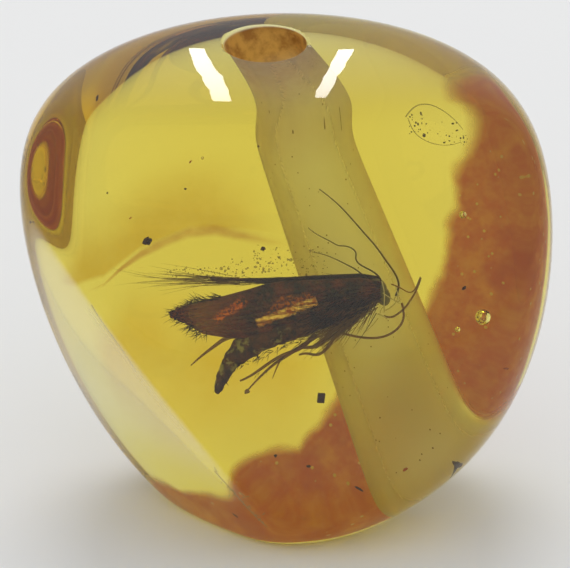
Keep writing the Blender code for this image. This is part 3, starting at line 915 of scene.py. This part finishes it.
# what else is sealed in the resin, in the same plane as the moth or near it
inclusions = {
    # x, height, depth, radius, how much longer than wide, and its turn in degrees
    "specks": ((-3.03, 6.92, 0.0, 0.085, 1.25, 20), (-0.50, 6.72, 0.1, 0.045, 1.2, 60),
               (3.36, 1.90, 0.0, 0.050, 1.4, 30),
               (0.47, 1.66, 0.1, 0.030, 1.5, 10), (-0.22, 1.90, 0.1, 0.028, 1.3, 70),
               (3.87, 5.78, 0.0, 0.035, 1.9, 40),
               (-2.22, 8.20, 0.0, 0.020, 1.5, 15), (-0.62, 9.20, 0.2, 0.020, 1.4, 50),
               (3.30, 1.55, 0.0, 0.030, 1.2, 0), (-3.97, 8.10, 0.0, 0.018, 1.6, 80),
               (-5.62, 7.30, 0.50, 0.030, 1.2, 30), (-5.55, 7.32, 0.45, 0.020, 1.2, 0)),
    "slivers": ((1.50, 1.19, 0.0, 0.022, 4.2, -28), (-0.68, 0.72, -0.1, 0.020, 3.6, -38),
                (0.72, 3.24, -0.1, 0.010, 2.2, 75)),
    "flakes": ((2.46, 1.62, 0.0, 0.022, 2.6, 35), (-2.12, 8.85, 0.1, 0.016, 3.0, 60),
               (-3.42, 7.46, 0.1, 0.012, 3.0, 40),
               (4.60, 3.90, 0.1, 0.020, 2.0, 10)),
    "squareSpeck": (0.74, 3.23, -0.05, 0.075, 0.105),
    "tail": ((3.32, 1.88, 0.0), (3.25, 1.80, 0.0), (3.20, 1.70, 0.0), (3.14, 1.62, 0.0)),
    "bubbles": ((3.90, 7.56, 0.0, 0.085), (3.70, 4.80, 0.0, 0.060), (4.22, 5.03, 0.4, 0.17),
                (-1.85, 8.92, 0.2, 0.035)),
    # a hair and crumbs in a torn skin of resin
    "debrisHair": ((2.61, 9.47, 1.51), (2.78, 9.57, 1.70), (3.00, 9.60, 1.80), (3.25, 9.58, 1.79),
                   (3.51, 9.51, 1.72),
                   (3.72, 9.40, 1.66), (3.84, 9.26, 1.59)),
    "debrisLow": ((2.66, 9.46, 1.50), (2.74, 9.28, 1.36), (2.93, 9.12, 1.29), (3.24, 8.99, 1.28),
                  (3.58, 8.95, 1.34),
                  (3.80, 9.03, 1.43)),
    # scratches along the crease between the window and the left facet
    "creaseLine": ((-4.33, 5.49, -0.87), (-4.01, 4.90, -1.06), (-3.72, 4.66, -1.25), (-3.34, 3.94, -1.43)),
    "creaseScratch": ((-1.59, 1.56, -1.95), (-1.32, 1.24, -1.99), (-0.98, 0.82, -2.00), (-0.69, 0.43, -1.96),
                      (-0.42, 0.16, -1.91)),
    "crumbs": 70,
    "seeds": {"specks": 3, "flakes": 4, "crumbs": 6, "mottle": 7, "nicks": 9},
    "nicks": 26,
    "mottle": 260,  # tiny grains above the moth's wings
    # the seam between two flows of resin, as x and height of its middle, and its half width
    "flow": ((-4.35, 5.70, 0.05), (-3.95, 5.87, 0.07), (-3.62, 6.22, 0.09), (-3.19, 6.58, 0.16),
             (-2.86, 6.77, 0.18),
             (-2.53, 6.94, 0.18), (-2.10, 7.13, 0.20), (-1.55, 7.18, 0.20), (-1.00, 7.06, 0.20),
             (-0.40, 6.92, 0.20),
             (0.30, 6.78, 0.16)),
    "deepFlow": ((-4.9, 6.85, 1.0), (-4.40, 6.90, 1.05), (-3.95, 7.05, 1.1), (-3.19, 7.75, 1.15),
                 (-2.10, 8.25, 1.15),
                 (-1.00, 8.15, 1.1), (0.08, 7.95, 1.05)),
    "deepLow": ((-4.0, 4.6, 1.2), (-3.2, 4.3, 1.9), (-2.2, 4.0, 2.2), (-1.0, 3.9, 2.3), (0.2, 3.9, 2.2),
                (1.2, 4.2, 1.6)),
}


def lump(x, height, depth, radius, longer, turn, rng):
    bpy.ops.mesh.primitive_ico_sphere_add(subdivisions=2, radius=radius * mm)
    piece = named("speck")
    points = meshPoints(piece)
    uneven = 1 + rng.normal(0, 0.16, len(points))
    movePoints(piece, points * uneven[:, None])
    piece.scale = (longer, 0.8, 1.0)
    piece.rotation_euler = (0, -math.radians(turn), 0)
    piece.location = mothPlace(x, height, depth)
    return applyPlace(piece)


def inResin(piece, material):
    piece.data.materials.clear()
    piece.data.materials.append(material)
    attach(piece, "root")
    return piece


def makeSpecks():
    rng = np.random.default_rng(inclusions["seeds"]["specks"])
    pieces = [lump(*speck, rng) for speck in inclusions["specks"] + inclusions["slivers"]]
    x, height, depth, half, halfHigh = inclusions["squareSpeck"]
    bpy.ops.mesh.primitive_cube_add(size=2.0)
    square = named("square_speck")
    square.scale = Vector((half, half * 0.5, halfHigh)) * mm
    square.rotation_euler = (0, 0.12, 0.2)
    square.location = mothPlace(x, height, depth)
    bevel = square.modifiers.new("worn", "BEVEL")
    bevel.width = 0.03
    applyPlace(applyAll(square))
    pieces.append(square)
    pieces.append(thread("tail", inclusions["tail"], 0.02))
    return joinAll("dark_specks", pieces)


def makeGrains(name, count, boxes, size, seed):  # tiny crumbs, all copies of one ball
    rng = np.random.default_rng(seed)
    deselectAll()
    bpy.ops.mesh.primitive_ico_sphere_add(subdivisions=1, radius=1.0)
    shape, faces = takeShape(named(name))
    points, allFaces = [], []
    for index in range(count):
        low, high = boxes[index % len(boxes)]
        place = np.array(low) + (np.array(high) - np.array(low)) * rng.random(3)
        radius = size * rng.lognormal(0, 0.45)
        points.append(np.array(mothPlace(*place)) + shape * rng.uniform(0.6, 1.4, 3) * radius * mm)
        allFaces += [tuple(index * len(shape) + corner for corner in face) for face in faces]
    return meshFrom(name, points, allFaces)


def makeBubbles():
    pieces = []
    for x, height, depth, radius in inclusions["bubbles"]:
        bpy.ops.mesh.primitive_uv_sphere_add(segments=24, ring_count=16, radius=radius * mm,
                                             location=mothPlace(x, height, depth))
        pieces.append(applyPlace(named("bubble")))
    piece = joinAll("bubbles", pieces)
    bpy.ops.object.shade_smooth()
    return piece


def airMaterial():  # air in resin: the light turns the other way at its skin
    material, tree, out = newMaterial("air bubble")
    shader = add(tree, "BsdfPrincipled", {"Base Color": (1, 1, 1, 1), "Roughness": 0.02,
                                          "IOR": 1 / amber["ior"],
                                          "Transmission Weight": 1.0})
    tree.links.new(shader.outputs[0], out.inputs["Surface"])
    return material


def veilMaterial(name, color, strength, scale, edge):
    # A tinted layer in the resin: it colours what is behind it, unevenly, and fades out at its edges.
    material, tree, out = newMaterial(name)
    place = inMillimetres(tree)
    cloud = ramp(tree, noise(tree, place, scale, 4.0, 0.6), 0.25, 0.75)
    inside = add(tree, "Attribute", attribute_name="fade"), "Fac"
    amount = maths(tree, "MULTIPLY", ramp(tree, inside, 0.0, edge),
                   maths(tree, "MULTIPLY_ADD", cloud, 0.5, 0.5))
    tint = blend(tree, maths(tree, "MULTIPLY", amount, strength), (1, 1, 1, 1), linear(color))
    clear = add(tree, "BsdfTransparent", {"Color": tint})
    tree.links.new(clear.outputs[0], out.inputs["Surface"])
    return material


def makeVeil(name, stations, depth, cuts=(60, 12), oneSided=False):
    # a ribbon at one depth about a line of (x, height, half width); the "fade" value is 1 on the
    # line, or on its lower edge, and 0 at its edges
    deselectAll()
    bpy.ops.mesh.primitive_grid_add(x_subdivisions=cuts[0], y_subdivisions=cuts[1], size=2.0)
    piece = named(name)
    flat = meshPoints(piece)
    along, across = (flat[:, 0] + 1) / 2, (flat[:, 1] + 1) / 2
    at = np.linspace(0, 1, len(stations))
    x, middle, half = (np.interp(along, at, line) for line in zip(*stations))
    height = middle + half * (2 * across - 1)
    back = np.full(len(x), depth)
    movePoints(piece, np.stack([x, moth["depth"] + back, height - moth["lean"] * back], axis=1) * mm)
    fade = piece.data.attributes.new("fade", "FLOAT", "POINT")
    ends = np.minimum(np.clip(along * 6, 0, 1), np.clip((1 - along) * 4, 0, 1))
    inwards = np.minimum(1 - across, across * 12) if oneSided else 1 - np.abs(2 * across - 1)
    fade.data.foreach_set("value", inwards * ends)
    return piece


def makeScratches():
    scratches = [thread("crease_line", inclusions["creaseLine"], 0.010, 0.5),
                 thread("crease_scratch", inclusions["creaseScratch"], 0.014, 0.6)]
    rng = np.random.default_rng(inclusions["seeds"]["nicks"])
    for _ in range(inclusions["nicks"]):
        root = np.array(inclusions["creaseScratch"][0]) + (np.array((1.10, -1.30, 0.02)) * rng.random())
        root[:2] += rng.normal(0, 0.07, 2)
        way = rng.normal(0, 0.06, 2)
        middle = (root[0] + way[0] / 2, root[1] + way[1] / 2 + 0.01, root[2])
        end = (root[0] + way[0], root[1] + way[1], root[2])
        scratches.append(thread("nick", (tuple(root), middle, end), 0.009, 0.8, 1))
    return joinAll("crease_scratches", scratches)


inResin(makeSpecks(), plainMaterial("charred crumb", "#3A1408", 0.5))
flakeRng = np.random.default_rng(inclusions["seeds"]["flakes"])
flakes = joinAll("orange_flakes", [lump(*flake, flakeRng) for flake in inclusions["flakes"]])
inResin(flakes, plainMaterial("orange flake", "#B4541A", 0.5))
inResin(makeBubbles(), airMaterial())
debris = joinAll("debris", [thread("debris_hair", inclusions["debrisHair"], 0.010, 0.6),
                            thread("debris_low", inclusions["debrisLow"], 0.010, 0.5)])
inResin(debris, plainMaterial("debris fibre", "#7A6A20", 0.5, 0.45))
crumbBoxes = (((2.65, 9.05, 1.35), (3.85, 9.50, 1.6)), ((2.65, 9.15, 1.35), (3.10, 9.52, 1.7)),
              ((3.40, 8.95, 1.3), (3.95, 9.20, 1.5)))
crumbs = makeGrains("crumbs", inclusions["crumbs"], crumbBoxes, 0.013, inclusions["seeds"]["crumbs"])
inResin(crumbs, plainMaterial("crumb", "#5A4418", 0.5, 0.7))
inResin(makeScratches(), plainMaterial("scratched resin", "#D8C890", 0.6, 0.7))
mottleBoxes = (((-1.35, 6.10, -0.1), (0.60, 6.55, 0.2)), ((-0.70, 6.10, -0.1), (0.90, 6.80, 0.2)),
               ((-2.60, 6.05, -0.1), (-0.80, 6.30, 0.2)))
mottle = makeGrains("mottle", inclusions["mottle"], mottleBoxes, 0.014, inclusions["seeds"]["mottle"])
inResin(mottle, plainMaterial("fine grain", "#8E7214", 0.5, 0.38))
inResin(makeVeil("flow_seam", inclusions["flow"], 0.05),
        veilMaterial("flow seam in resin", "#C08028", 0.7, 1.6, 0.9))
inResin(makeVeil("deep_flow", inclusions["deepFlow"], 0.3, (60, 40), True),
        veilMaterial("deeper yellow resin", "#E6D270", 1.0, 0.5, 0.9))
inResin(makeVeil("deep_low", inclusions["deepLow"], 0.5, (60, 40)),
        veilMaterial("deeper yellow resin low down", "#F2E08C", 0.9, 0.5, 0.9))
print("inclusions made")
